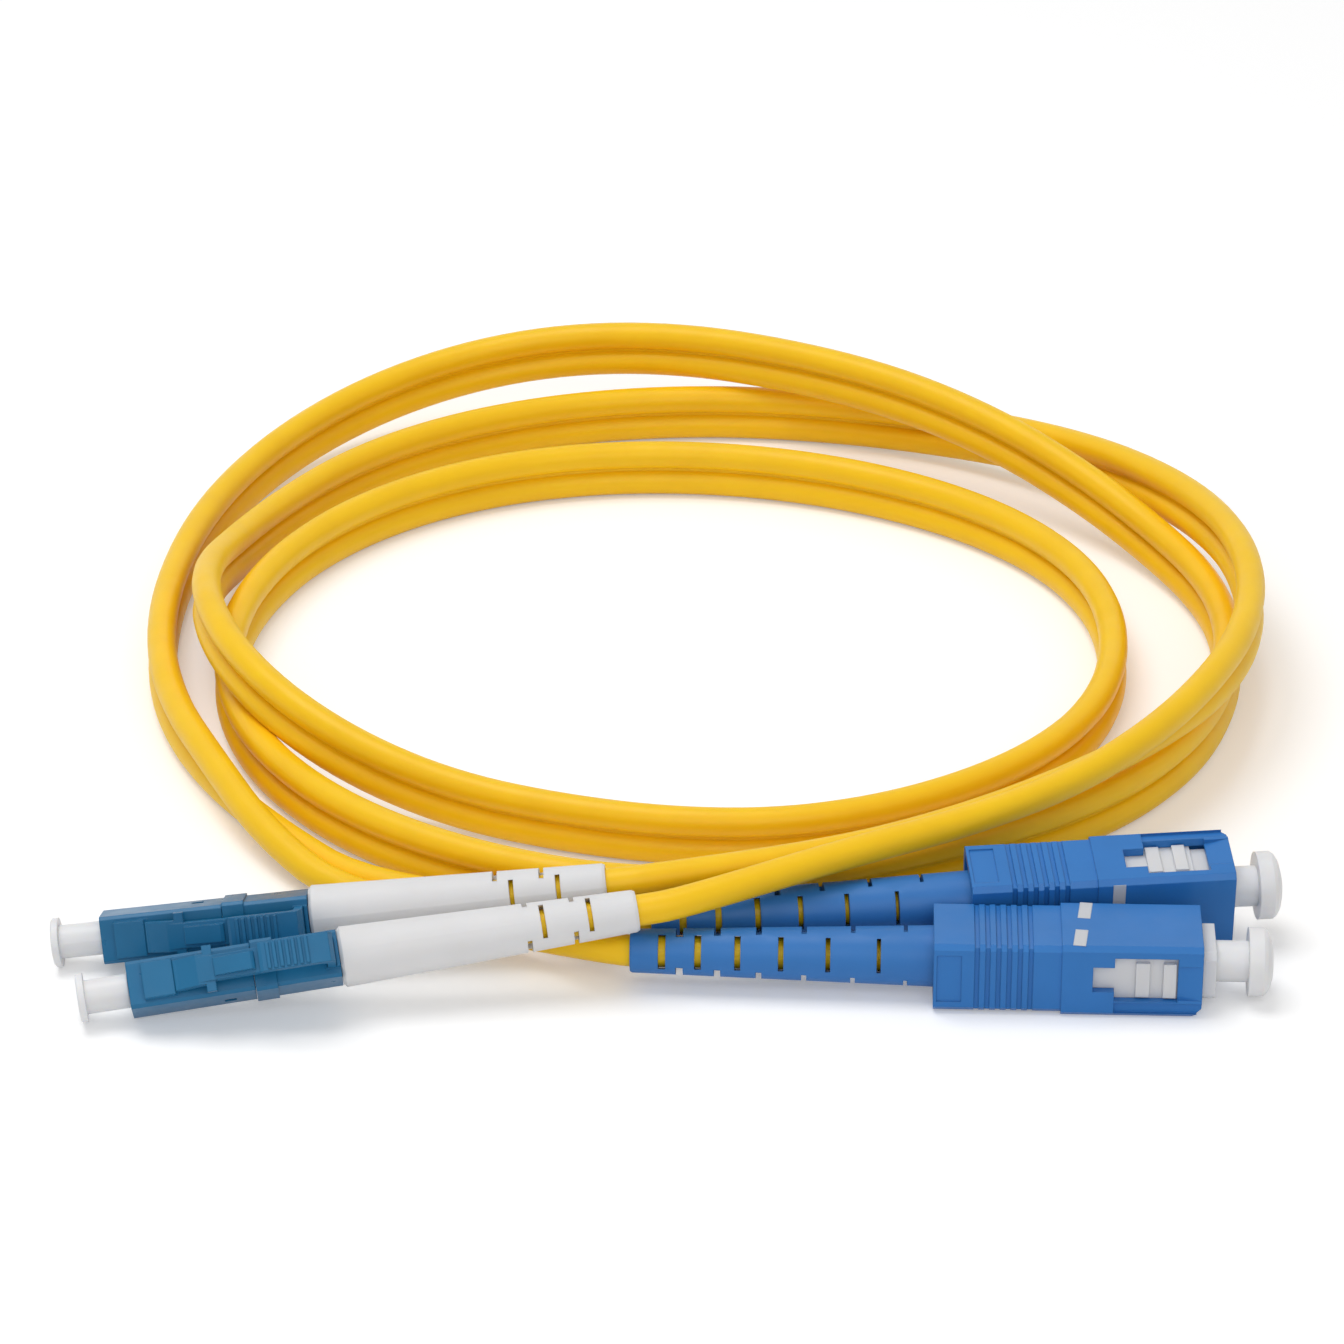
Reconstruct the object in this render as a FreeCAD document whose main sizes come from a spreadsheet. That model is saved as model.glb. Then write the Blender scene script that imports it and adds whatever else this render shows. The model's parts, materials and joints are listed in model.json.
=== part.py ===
import FreeCAD, Part
import math
import os

import Sketcher
from FreeCAD import Placement, Rotation, Vector

# Fiber optic patch cord: two LC plugs and two SC plugs on a wound duplex cord.
# Millimetres, +Z up. The origin is on the standing surface, under the middle of the four plugs.

doc = FreeCAD.newDocument("fiber_patch_cord")
sheet = doc.addObject("Spreadsheet::Sheet", "Sizes")


# A size is a number together with the text that binds a feature to the sheet.
class Size:
    def __init__(self, value, text):
        self.value = value
        self.text = text

    def joined(self, other, sign, value):
        text = other.text if isinstance(other, Size) else repr(other)
        return Size(value, "(" + self.text + " " + sign + " " + text + ")")

    def __add__(self, other):
        return self.joined(other, "+", self.value + number(other))

    def __sub__(self, other):
        return self.joined(other, "-", self.value - number(other))

    def __mul__(self, other):
        return self.joined(other, "*", self.value * number(other))

    def __truediv__(self, other):
        return self.joined(other, "/", self.value / number(other))

    def __neg__(self):
        return Size(-self.value, "(0 - " + self.text + ")")


def number(size):
    return size.value if isinstance(size, Size) else size


rows = []


def size(alias, value, note):
    row = len(rows) + 1
    rows.append(alias)
    sheet.set("A%d" % row, alias)
    sheet.set("B%d" % row, repr(value))
    sheet.set("C%d" % row, note)
    sheet.setAlias("B%d" % row, alias)
    return Size(float(value), "Sizes." + alias)


# Clearances
running_gap = size("running_gap", 0.05, "gap each side of a piece that slides or turns")
seat_gap = size("seat_gap", 0.05, "gap between faces that rest against each other")
slip_gap = size("slip_gap", 0.1, "gap each side of a piece that is threaded through")

# Cord
strand_diameter = size("strand_diameter", 3.0, "jacket of one strand")
strand_bore = size("strand_bore", 1.8, "bore of the jacket")
strand_pitch = size("strand_pitch", 3.1, "between the two strands of the pair")
fibre_diameter = size("fibre_diameter", 0.9, "buffered fibre")

# LC plug, measured back from the front face of its housing
lc_side = size("lc_side", 4.52, "side of the square housing")
lc_housing_length = size("lc_housing_length", 11.6, "front housing")
lc_collar_length = size("lc_collar_length", 2.1, "collar behind the front housing")
lc_collar_side = size("lc_collar_side", 4.9, "side of the collar")
lc_rear_length = size("lc_rear_length", 6.0, "rear housing behind the collar")
lc_bevel = size("lc_bevel", 0.3, "bevel on the long edges")
lc_bore = size("lc_bore", 3.2, "bore of both housings")
lc_front_wall = size("lc_front_wall", 2.2, "wall ahead of the bore")
lc_window_back = size("lc_window_back", 8.6, "small window in each side, behind the front face")
lc_window_length = size("lc_window_length", 1.1, "small window along the housing")
lc_window_height = size("lc_window_height", 0.8, "small window across the housing")
lc_window_down = size("lc_window_down", 0.6, "middle of the small window below the axis")
lc_seat_bore = size("lc_seat_bore", 3.9, "rear bore for the boot")
lc_seat_depth = size("lc_seat_depth", 3.7, "depth of the rear bore")
lc_ferrule_diameter = size("lc_ferrule_diameter", 1.249, "ferrule")
lc_ferrule_length = size("lc_ferrule_length", 6.5, "ferrule")
lc_ferrule_reach = size("lc_ferrule_reach", 2.2, "ferrule ahead of the housing")
lc_travel = size("lc_travel", 0.8, "how far the ferrule is pushed back")
lc_flange_diameter = size("lc_flange_diameter", 3.0, "ferrule flange")
lc_flange_length = size("lc_flange_length", 2.3, "ferrule flange")
lc_tube_diameter = size("lc_tube_diameter", 1.5, "tube behind the flange")
lc_tube_length = size("lc_tube_length", 3.6, "tube behind the flange")
lc_spring_length = size("lc_spring_length", 4.6, "spring as fitted")
lc_spring_diameter = size("lc_spring_diameter", 2.6, "outside of the spring")
lc_spring_wire = size("lc_spring_wire", 0.3, "spring wire")
lc_spring_turns = size("lc_spring_turns", 6, "turns of the spring")
lc_stem_diameter = size("lc_stem_diameter", 2.3, "stem that the jacket is crimped on")
lc_stem_length = size("lc_stem_length", 5.0, "stem behind the crimp body")
lc_ring_inside = size("lc_ring_inside", 2.8, "crimp ring")
lc_ring_outside = size("lc_ring_outside", 3.2, "crimp ring")
lc_boot_front = size("lc_boot_front", 5.7, "boot at the housing")
lc_boot_tail = size("lc_boot_tail", 4.0, "boot at its tail")
lc_boot_length = size("lc_boot_length", 28.1, "boot behind the housing")
lc_neck_wall = size("lc_neck_wall", 0.2, "wall of the boot's neck")
lc_slot_first = size("lc_slot_first", 4.5, "first pair of slots, from the tail")
lc_slot_step = size("lc_slot_step", 1.5, "between the two slots of a pair")
lc_slot_pairs = size("lc_slot_pairs", 4.4, "from pair to pair")
lc_slot_width = size("lc_slot_width", 0.45, "slot")
lc_slot_rows = 2
lc_cap_stem = size("lc_cap_stem", 3.2, "dust cap stem diameter")
lc_cap_reach = size("lc_cap_reach", 4.1, "dust cap stem ahead of the housing")
lc_cap_flange = size("lc_cap_flange", 4.65, "dust cap flange diameter")
lc_cap_flange_length = size("lc_cap_flange_length", 0.7, "dust cap flange")

# LC latch and trigger
anchor_front = size("anchor_front", 1.4, "front of the latch's anchor block")
anchor_width = size("anchor_width", 3.4, "anchor block")
anchor_height = size("anchor_height", 0.84, "anchor block above the housing")
latch_axis_back = size("latch_axis_back", 4.6, "latch hinge behind the front face")
latch_axis_up = size("latch_axis_up", 0.5, "latch hinge above the housing")
knuckle_radius = size("knuckle_radius", 0.4, "round root of the latch and the trigger")
latch_width = size("latch_width", 2.9, "latch plate from its root to its lugs")
latch_arm_width = size("latch_arm_width", 2.4, "latch plate behind its lugs")
latch_rib_width = size("latch_rib_width", 1.7, "raised rib of the latch")
latch_rib_height = size("latch_rib_height", 0.35, "raised rib of the latch")
latch_end_back = size("latch_end_back", 13.5, "end of the latch behind the front face")
latch_end_up = size("latch_end_up", 2.19, "top of the latch's end above the housing")
latch_knee_back = size("latch_knee_back", 6.5, "top of the latch's ramp behind the front face")
latch_knee_up = size("latch_knee_up", 1.69, "top of the latch's ramp above the housing")
latch_plate = size("latch_plate", 0.8, "thickness of the latch")
lug_front = size("lug_front", 7.2, "front of the latch's lugs")
lug_length = size("lug_length", 0.9, "latch lug")
lug_span = size("lug_span", 4.4, "across both lugs")
trigger_axis_forward = size("trigger_axis_forward", 0.8, "trigger hinge ahead of the rear end")
trigger_width = size("trigger_width", 2.8, "trigger")
trigger_plate = size("trigger_plate", 0.75, "thickness of the trigger")
trigger_gap = size("trigger_gap", 0.12, "trigger above the latch's end")
trigger_overlap = size("trigger_overlap", 1.2, "trigger tip ahead of the latch's end")
trigger_rib = size("trigger_rib", 0.32, "rib on the trigger")
trigger_ribs = 7

# SC plug, measured back from the nose of its inner frame
sc_width = size("sc_width", 9.0, "grip across its marked faces")
sc_height = size("sc_height", 7.4, "grip across its windowed faces")
sc_front_length = size("sc_front_length", 13.1, "front part of the grip")
sc_rear_length = size("sc_rear_length", 11.9, "rear part of the grip")
sc_rear_step = size("sc_rear_step", 0.2, "step from the front part down to the rear part")
sc_bevel = size("sc_bevel", 0.5, "bevel on the grip's long edges")
sc_cavity_width = size("sc_cavity_width", 7.3, "inside of the grip")
sc_cavity_height = size("sc_cavity_height", 5.5, "inside of the grip")
sc_grip_travel = size("sc_grip_travel", 1.8, "travel of the grip on the frame")
sc_nose_out = size("sc_nose_out", 1.3, "nose ahead of the grip when it is pulled back")
sc_groove_first = size("sc_groove_first", 3.8, "first groove, from the grip's rear end")
sc_groove_step = size("sc_groove_step", 1.0, "from groove to groove")
sc_groove_width = size("sc_groove_width", 0.45, "groove")
sc_groove_depth = size("sc_groove_depth", 0.25, "groove")
sc_grooves = 6
sc_panel_length = size("sc_panel_length", 2.3, "bare sunk panel near the grip's rear end")
sc_panel_width = size("sc_panel_width", 4.9, "bare sunk panel")
sc_panel_depth = size("sc_panel_depth", 0.15, "bare sunk panel")
sc_panel_back = size("sc_panel_back", 0.3, "panel from the grip's rear end")
window_front = size("window_front", 2.3, "window behind the grip's front")
window_length = size("window_length", 5.9, "wide part of the window")
window_width = size("window_width", 4.6, "wide part of the window")
slot_length = size("slot_length", 2.0, "narrow part of the window")
window_up = size("window_up", 0.3, "window and its slot, off the axis towards the marks")
slot_width = size("slot_width", 2.6, "narrow part of the window")
ramp_depth = size("ramp_depth", 0.45, "sunk lead-in from the grip's front to the window")
ramp_width = size("ramp_width", 3.6, "sunk lead-in")
channel_width = size("channel_width", 1.1, "sunk channel beside the window, away from the marks")
channel_depth = size("channel_depth", 0.35, "sunk channel")
channel_edge = size("channel_edge", 0.15, "edge between the window and the channel")
front_bevel = size("front_bevel", 0.9, "bevel at the grip's front, away from the marks")
nose_width = size("nose_width", 6.7, "nose of the frame")
nose_height = size("nose_height", 4.9, "nose of the frame")
nose_length = size("nose_length", 3.2, "nose of the frame")
nose_bevel = size("nose_bevel", 0.6, "bevel on the nose's long edges")
frame_length = size("frame_length", 18.5, "inner frame")
frame_bore = size("frame_bore", 4.4, "bore of the frame")
nose_bore = size("nose_bore", 3.0, "bore through the nose")
crossbar_back = size("crossbar_back", 3.75, "crossbar behind the nose")
crossbar_length = size("crossbar_length", 1.2, "crossbar along the plug")
crossbar_rise = size("crossbar_rise", 0.45, "crossbar above the frame's side")
ledge_back = size("ledge_back", 6.2, "latch ledge behind the nose")
ledge_length = size("ledge_length", 1.3, "latch ledge")
ledge_rise = size("ledge_rise", 0.35, "latch ledge above the frame's side")
ledge_width = size("ledge_width", 3.6, "crossbar and latch ledge across the plug")
sc_ferrule_diameter = size("sc_ferrule_diameter", 2.499, "ferrule")
sc_ferrule_length = size("sc_ferrule_length", 10.5, "ferrule")
sc_ferrule_reach = size("sc_ferrule_reach", 2.6, "ferrule ahead of the nose")
sc_travel = size("sc_travel", 1.0, "how far the ferrule is pushed back")
sc_flange_diameter = size("sc_flange_diameter", 4.2, "ferrule flange")
sc_flange_length = size("sc_flange_length", 2.0, "ferrule flange")
sc_tube_diameter = size("sc_tube_diameter", 2.9, "tube behind the flange")
sc_tube_length = size("sc_tube_length", 6.0, "tube behind the flange")
sc_spring_length = size("sc_spring_length", 7.8, "spring as fitted")
sc_spring_diameter = size("sc_spring_diameter", 4.1, "outside of the spring")
sc_spring_wire = size("sc_spring_wire", 0.45, "spring wire")
sc_spring_turns = size("sc_spring_turns", 6, "turns of the spring")
sc_collar_diameter = size("sc_collar_diameter", 5.2, "collar of the crimp body")
sc_collar_length = size("sc_collar_length", 1.0, "collar of the crimp body")
sc_stem_diameter = size("sc_stem_diameter", 2.9, "stem that the jacket is crimped on")
sc_stem_length = size("sc_stem_length", 4.4, "stem behind the collar")
sc_ring_inside = size("sc_ring_inside", 3.6, "crimp ring")
sc_ring_outside = size("sc_ring_outside", 4.2, "crimp ring")
sc_boot_front = size("sc_boot_front", 5.9, "boot where it enters the grip")
sc_boot_tail = size("sc_boot_tail", 4.1, "boot at its tail")
sc_boot_length = size("sc_boot_length", 30.6, "tapered part of the boot")
sc_neck_diameter = size("sc_neck_diameter", 5.2, "neck of the boot inside the grip")
sc_neck_length = size("sc_neck_length", 4.0, "neck of the boot inside the grip")
sc_seat_depth = size("sc_seat_depth", 3.5, "round seat for the boot in the grip's rear end")
sc_slot_first = size("sc_slot_first", 3.0, "first slot, from the tail")
sc_slot_step = size("sc_slot_step", 1.6, "from slot to slot at the tail")
sc_slot_growth = size("sc_slot_growth", 0.043, "growth of the step from slot to slot")
sc_slot_width = size("sc_slot_width", 0.7, "slot at the tail")
sc_slot_narrowing = size("sc_slot_narrowing", 0.032, "each slot narrower than the one before")
sc_slots = 12
sc_cap_stem = size("sc_cap_stem", 3.9, "dust cap stem diameter")
sc_cap_reach = size("sc_cap_reach", 3.1, "dust cap stem ahead of the nose")
sc_cap_flange = size("sc_cap_flange", 6.5, "dust cap flange diameter")
sc_cap_flange_length = size("sc_cap_flange_length", 2.3, "dust cap flange")
sc_cap_dome = size("sc_cap_dome", 0.9, "dome on the dust cap's end")

doc.recompute()


def new_body(label):
    body = doc.addObject("PartDesign::Body", label)
    body.Label = label
    return body


# A sketch on one of the body's own planes, moved along the plane's normal.
def new_sketch(body, plane, offset=None):
    sketch = body.newObject("Sketcher::SketchObject", body.Name + "_sketch")
    support = [feature for feature in body.Origin.OriginFeatures if feature.Role == plane]
    sketch.AttachmentSupport = [(support[0], "")]
    sketch.MapMode = "FlatFace"
    if offset is not None:
        sketch.AttachmentOffset = Placement(Vector(0, 0, offset.value), Rotation())
        sketch.setExpression("AttachmentOffset.Base.z", offset.text)
    return sketch


def pin(sketch, direction, geometry, point, place):
    if abs(number(place)) < 1e-9 and not isinstance(place, Size):
        axis = -2 if direction == "DistanceX" else -1
        sketch.addConstraint(Sketcher.Constraint("PointOnObject", geometry, point, axis))
        return
    constraint = Sketcher.Constraint(direction, -1, 1, geometry, point, number(place))
    index = sketch.addConstraint(constraint)
    sketch.setExpression("Constraints[%d]" % index, place.text)


# A closed outline of straight lines, each corner pinned to sizes of the sheet.
def outline(sketch, corners):
    first = sketch.GeometryCount
    count = len(corners)
    spots = [Vector(number(x), number(y), 0) for x, y in corners]
    for i in range(count):
        sketch.addGeometry(Part.LineSegment(spots[i], spots[(i + 1) % count]), False)
    for i in range(count):
        after = first + (i + 1) % count
        sketch.addConstraint(Sketcher.Constraint("Coincident", first + i, 2, after, 1))
    for i, (x, y) in enumerate(corners):
        pin(sketch, "DistanceX", first + i, 1, x)
        pin(sketch, "DistanceY", first + i, 1, y)


def rectangle(sketch, left, right, low, high):
    outline(sketch, [(left, low), (right, low), (right, high), (left, high)])


def circle(sketch, x, y, radius):
    centre = Vector(number(x), number(y), 0)
    shape = Part.Circle(centre, Vector(0, 0, 1), radius.value)
    index = sketch.addGeometry(shape, False)
    constraint = sketch.addConstraint(Sketcher.Constraint("Radius", index, radius.value))
    sketch.setExpression("Constraints[%d]" % constraint, radius.text)
    pin(sketch, "DistanceX", index, 3, x)
    pin(sketch, "DistanceY", index, 3, y)


def feature(body, kind, sketch):
    made = body.newObject("PartDesign::" + kind, body.Name + "_" + kind.lower())
    made.Profile = sketch
    return made


def pad(body, sketch, length, centred=False):
    made = feature(body, "Pad", sketch)
    made.Length = length.value
    made.setExpression("Length", length.text)
    if centred:
        made.SideType = "Symmetric"
    return made


def pocket(body, sketch, length, reverse=False):
    made = feature(body, "Pocket", sketch)
    made.Length = length.value
    made.setExpression("Length", length.text)
    made.Reversed = reverse
    return made


def pocket_through(body, sketch):
    made = feature(body, "Pocket", sketch)
    made.Type = "ThroughAll"
    made.SideType = "Symmetric"
    return made


# A turned piece: its half outline runs along the plug's own axis.
def turn(body, corners, cut=False):
    sketch = new_sketch(body, "XZ_Plane")
    outline(sketch, corners)
    made = feature(body, "Groove" if cut else "Revolution", sketch)
    made.ReferenceAxis = (sketch, ["H_Axis"])
    made.Angle = 360
    return made


# A square or flat bar along the plug's axis with bevelled long edges.
def bar(body, back, front, width, height, bevel):
    sketch = new_sketch(body, "YZ_Plane", back)
    wide = width / 2
    high = height / 2
    outline(sketch, [
        (wide, bevel - high), (wide, high - bevel), (wide - bevel, high), (bevel - wide, high),
        (-wide, high - bevel), (-wide, bevel - high), (bevel - wide, -high), (wide - bevel, -high),
    ])
    return pad(body, sketch, front - back)


def hollow(body, back, front, width, height):
    sketch = new_sketch(body, "YZ_Plane", back)
    rectangle(sketch, -(width / 2), width / 2, -(height / 2), height / 2)
    return pocket(body, sketch, front - back, True)


def bore(body, back, front, diameter):
    return turn(body, [(back, 0), (front, 0), (front, diameter / 2), (back, diameter / 2)], True)


nodes = {}


def place(label, body, placement):
    body.Placement = placement
    nodes[label] = body


# Places of the plugs: local +X runs out through the nose, local +Z out of the latch or the marks.
def pose(x, y, z, yaw, pitch, roll):
    turned = Rotation(Vector(0, 0, 1), yaw) * Rotation(Vector(0, 1, 0), pitch)
    return Placement(Vector(x, y, z), turned * Rotation(Vector(1, 0, 0), roll))


def shifted(placement, along):
    return placement.multiply(Placement(Vector(along, 0, 0), Rotation()))


# A tube of one strand or wire: arcs in pairs that run tangent from station to station.
def arc_pair(start, start_way, end, end_way):
    chord = end - start
    ways = start_way + end_way
    spread = 2 * (1 - start_way.dot(end_way))
    along = chord.dot(ways)
    if spread < 1e-9:
        reach = chord.dot(chord) / (2 * along)
    else:
        reach = (math.sqrt(along * along + spread * chord.dot(chord)) - along) / spread
    first = start + start_way * reach
    second = end - end_way * reach
    middle = (first + second) * 0.5
    return [(start, first, middle), (middle, second, end)]


def arc_top(start, corner, end):
    weight = (end - start).Length / (2 * (corner - start).Length)
    return (start + end + corner * (2 * weight)) * (1 / (2 + 2 * weight))


def arc_radius(start, corner, end):
    reach = (corner - start).Length
    half = (end - start).Length / 2
    rise = math.sqrt(max(reach * reach - half * half, 1e-12))
    return reach * half / rise


def arc_points(start, corner, end, count):
    weight = (end - start).Length / (2 * (corner - start).Length)
    spots = []
    for i in range(count):
        t = i / count
        a = (1 - t) ** 2
        b = 2 * weight * t * (1 - t)
        c = t * t
        spots.append((start * a + corner * b + end * c) * (1 / (a + b + c)))
    return spots


def route_arcs(stations):
    arcs = []
    for (start, start_way), (end, end_way) in zip(stations, stations[1:]):
        arcs += arc_pair(start, start_way, end, end_way)
    return arcs


def route_wire(head, arcs, tail):
    edges = []
    spots = head + [arcs[0][0]]
    for a, b in zip(spots, spots[1:]):
        edges.append(Part.LineSegment(a, b).toShape())
    for start, corner, end in arcs:
        if arc_radius(start, corner, end) > 1e5:
            edges.append(Part.LineSegment(start, end).toShape())
        else:
            edges.append(Part.Arc(start, arc_top(start, corner, end), end).toShape())
    spots = [arcs[-1][2]] + tail
    for a, b in zip(spots, spots[1:]):
        edges.append(Part.LineSegment(a, b).toShape())
    return Part.Wire(edges)


def tube_shell(wire, start, way, radius):
    ring = Part.Wire([Part.Circle(start, way, radius).toShape()])
    return wire.makePipeShell([ring], False, False), ring


def solid_tube(wire, start, way, radius):
    ring = Part.Wire([Part.Circle(start, way, radius).toShape()])
    return wire.makePipeShell([ring], True, False)


def hollow_tube(wire, ends, outer, inner):
    outside, outside_ring = tube_shell(wire, ends[0][0], ends[0][1], outer)
    inside, inside_ring = tube_shell(wire, ends[0][0], ends[0][1], inner)
    faces = list(outside.Faces)
    faces += [face.reversed() for face in inside.Faces]
    for spot, way in ends:
        rim = Part.Wire([Part.Circle(spot, way, outer).toShape()])
        hole = Part.Wire([Part.Circle(spot, way, inner).toShape()])
        faces.append(Part.makeFace([rim, hole], "Part::FaceMakerBullseye"))
    shell = Part.Shell(faces)
    shell.sewShape()
    made = Part.Solid(Part.Shell(shell.Faces))
    if made.Volume < 0:
        made.reverse()
    return made


# Spring: a helix of quarter-turn arc pairs about the plug's axis, ends square to it.
def spring_shape(back, length, diameter, wire_size, turns):
    radius = (diameter - wire_size) / 2
    low = back + wire_size / 2
    rise = (length - wire_size) / turns
    stations = []
    for i in range(int(turns * 4) + 1):
        angle = math.pi / 2 * i
        spot = Vector(low + rise * i / 4, radius * math.cos(angle), radius * math.sin(angle))
        way = Vector(rise / (2 * math.pi), -radius * math.sin(angle), radius * math.cos(angle))
        stations.append((spot, way.normalize()))
    arcs = route_arcs(stations)
    wire = route_wire([], arcs, [])
    return solid_tube(wire, stations[0][0], stations[0][1], wire_size / 2)


# Distances behind the front face of the LC housing
lc_rear_start = lc_housing_length + seat_gap
lc_collar_end = lc_housing_length + lc_collar_length
lc_rear_end = lc_collar_end + lc_rear_length
lc_flange_start = lc_front_wall + seat_gap
lc_flange_end = lc_flange_start + lc_flange_length
lc_tube_end = lc_flange_end + lc_tube_length
lc_spring_end = lc_flange_end + lc_spring_length + seat_gap * 2
lc_seat_start = lc_rear_end - lc_seat_depth
lc_body_end = lc_seat_start - seat_gap
lc_stem_end = lc_body_end + lc_stem_length
lc_jacket_start = lc_stem_end + seat_gap
lc_tail = lc_rear_end + lc_boot_length
lc_half = lc_side / 2
fibre_bore = fibre_diameter + slip_gap * 2


def lc_plug(name, placement):
    label = name + "_plug_body"
    body = new_body(label)
    bar(body, -lc_housing_length, seat_gap * 0, lc_side, lc_side, lc_bevel)
    bore(body, -lc_housing_length, -lc_front_wall, lc_bore)
    bore(body, -lc_front_wall, seat_gap * 0, lc_ferrule_diameter + slip_gap * 4)
    sketch = new_sketch(body, "XZ_Plane")
    axis_up = lc_half + latch_axis_up
    rectangle(sketch, -latch_axis_back, -anchor_front, lc_half - lc_bevel, lc_half + anchor_height)
    pad(body, sketch, anchor_width, True)
    sketch = new_sketch(body, "XZ_Plane")
    circle(sketch, -latch_axis_back, axis_up, knuckle_radius + running_gap)
    pocket_through(body, sketch)
    sketch = new_sketch(body, "XZ_Plane")
    window_top = lc_window_height / 2 - lc_window_down
    rectangle(
        sketch, -(lc_window_back + lc_window_length), -lc_window_back, window_top - lc_window_height, window_top
    )
    pocket_through(body, sketch)
    place(label, body, placement)

    label = name + "_latch_arm"
    body = new_body(label)
    sketch = new_sketch(body, "XZ_Plane")
    circle(sketch, -latch_axis_back, axis_up, knuckle_radius)
    pad(body, sketch, latch_width, True)
    sketch = new_sketch(body, "XZ_Plane")
    knee_up = lc_half + latch_knee_up
    end_up = lc_half + latch_end_up
    outline(sketch, [
        (-latch_axis_back, axis_up + knuckle_radius),
        (-latch_axis_back, axis_up - knuckle_radius),
        (-(latch_knee_back + latch_plate * 0.3), knee_up - latch_plate),
        (-(lug_front + lug_length), knee_up - latch_plate),
        (-(lug_front + lug_length), knee_up),
        (-latch_knee_back, knee_up),
    ])
    pad(body, sketch, latch_width, True)
    sketch = new_sketch(body, "XZ_Plane")
    outline(sketch, [
        (-(latch_knee_back + latch_plate * 0.3), knee_up - latch_plate),
        (-latch_end_back, end_up - latch_plate),
        (-latch_end_back, end_up),
        (-latch_knee_back, knee_up),
    ])
    pad(body, sketch, latch_arm_width, True)
    sketch = new_sketch(body, "XZ_Plane")
    rib_end = latch_end_back - trigger_overlap - knuckle_radius
    outline(sketch, [
        (-(lug_front + lug_length), knee_up - latch_plate / 2),
        (-rib_end, end_up - latch_plate / 2),
        (-rib_end, end_up + latch_rib_height / 2),
        (-(rib_end - latch_rib_height), end_up + latch_rib_height),
        (-(lug_front + lug_length), knee_up + latch_rib_height),
    ])
    pad(body, sketch, latch_rib_width, True)
    sketch = new_sketch(body, "XZ_Plane")
    rectangle(sketch, -(lug_front + lug_length), -lug_front, knee_up - latch_plate / 2, knee_up)
    pad(body, sketch, lug_span, True)
    place(label, body, placement)

    label = name + "_rear_body"
    body = new_body(label)
    bar(body, -lc_rear_end, -lc_rear_start, lc_side, lc_side, lc_bevel)
    bar(body, -lc_collar_end, -lc_rear_start, lc_collar_side, lc_collar_side, lc_bevel)
    bore(body, -lc_seat_start, -lc_rear_start, lc_bore)
    bore(body, -lc_rear_end, -lc_seat_start, lc_seat_bore)
    hinge_back = lc_rear_end - trigger_axis_forward
    sketch = new_sketch(body, "XZ_Plane")
    rectangle(sketch, -lc_rear_end, -(hinge_back - knuckle_radius * 1.5), lc_half - lc_bevel, axis_up)
    pad(body, sketch, trigger_width, True)
    sketch = new_sketch(body, "XZ_Plane")
    circle(sketch, -hinge_back, axis_up, knuckle_radius + running_gap)
    pocket_through(body, sketch)
    sketch = new_sketch(body, "XZ_Plane")
    collar_low = lc_collar_side / 2
    rectangle(
        sketch, -lc_collar_end, -(lc_rear_start + lc_bevel), -(collar_low + lc_bevel), lc_bevel - collar_low
    )
    pad(body, sketch, lc_bore * 0.8, True)
    place(label, body, placement)

    label = name + "_trigger"
    body = new_body(label)
    sketch = new_sketch(body, "XZ_Plane")
    circle(sketch, -hinge_back, axis_up, knuckle_radius)
    pad(body, sketch, trigger_width, True)
    under = end_up + trigger_gap
    tip = latch_end_back - trigger_overlap
    sketch = new_sketch(body, "XZ_Plane")
    outline(sketch, [
        (-(hinge_back - knuckle_radius), axis_up),
        (-(hinge_back - knuckle_radius), under - knuckle_radius),
        (-(hinge_back - knuckle_radius * 2), under),
        (-(tip + trigger_plate), under),
        (-tip, under + trigger_plate * 0.3),
        (-tip, under + trigger_plate * 0.7),
        (-(tip + trigger_plate * 0.4), under + trigger_plate),
        (-hinge_back, under + trigger_plate),
        (-(hinge_back + knuckle_radius), under),
        (-(hinge_back + knuckle_radius), axis_up),
    ])
    pad(body, sketch, trigger_width, True)
    sketch = new_sketch(body, "XZ_Plane")
    rib_step = (hinge_back - tip - knuckle_radius * 6) / trigger_ribs
    for i in range(trigger_ribs):
        back = tip + trigger_plate + rib_step * i
        top = under + trigger_plate
        rectangle(sketch, -(back + trigger_rib), -back, top - trigger_rib, top + trigger_rib * 0.6)
    pad(body, sketch, trigger_width - lc_bevel, True)
    place(label, body, placement)

    label = name + "_ferrule"
    body = new_body(label)
    radius = lc_ferrule_diameter / 2
    tip_bevel = lc_ferrule_diameter * 0.12
    ferrule_back = -(lc_ferrule_length - lc_ferrule_reach)
    turn(body, [
        (ferrule_back, 0), (lc_ferrule_reach, 0), (lc_ferrule_reach, radius - tip_bevel),
        (lc_ferrule_reach - tip_bevel * 2, radius), (ferrule_back, radius),
    ])
    place(label, body, placement)

    label = name + "_ferrule_flange"
    body = new_body(label)
    flange = lc_flange_diameter / 2
    tube = lc_tube_diameter / 2
    turn(body, [
        (-lc_tube_end, fibre_bore / 2), (ferrule_back, fibre_bore / 2), (ferrule_back, radius),
        (-lc_flange_start, radius), (-lc_flange_start, flange), (-lc_flange_end, flange),
        (-lc_flange_end, tube), (-lc_tube_end, tube),
    ])
    place(label, body, placement)

    label = name + "_spring"
    spring = doc.addObject("Part::Feature", label)
    spring.Label = label
    spring.Shape = spring_shape(
        -(lc_flange_end + seat_gap + lc_spring_length).value, lc_spring_length.value,
        lc_spring_diameter.value, lc_spring_wire.value, lc_spring_turns.value
    )
    place(label, spring, placement)

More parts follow.
